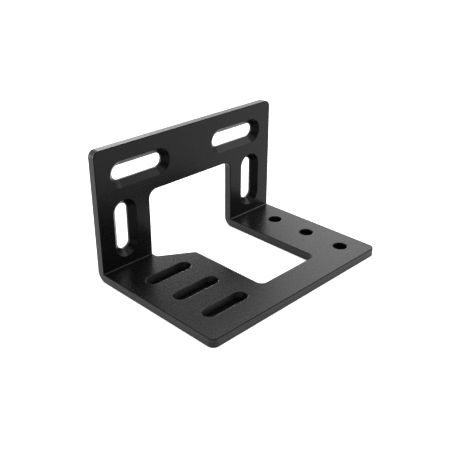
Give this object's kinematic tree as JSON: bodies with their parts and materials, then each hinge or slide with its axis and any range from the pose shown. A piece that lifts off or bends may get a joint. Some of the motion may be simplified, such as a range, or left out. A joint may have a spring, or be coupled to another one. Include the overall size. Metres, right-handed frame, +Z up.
{
  "type": "l bracket",
  "caption": "L-shaped mounting bracket folded from one thick black plate, with countersunk slots in the upright, a large window, and slots and holes in the base.",
  "frame": {"origin": "under the middle of the bracket's width and depth, on the plane that the base's underside lies on", "axes": "+X to the right across the width when the bracket is seen from its open side, +Y towards the upright's back face, +Z up"},
  "size_m": [0.104, 0.0716, 0.0595],
  "materials": {
    "coated_plate": "satin black powder coat with a fine grain"
  },
  "bodies": {
    "root": {"bracket": "coated_plate"}
  },
  "joints": []
}
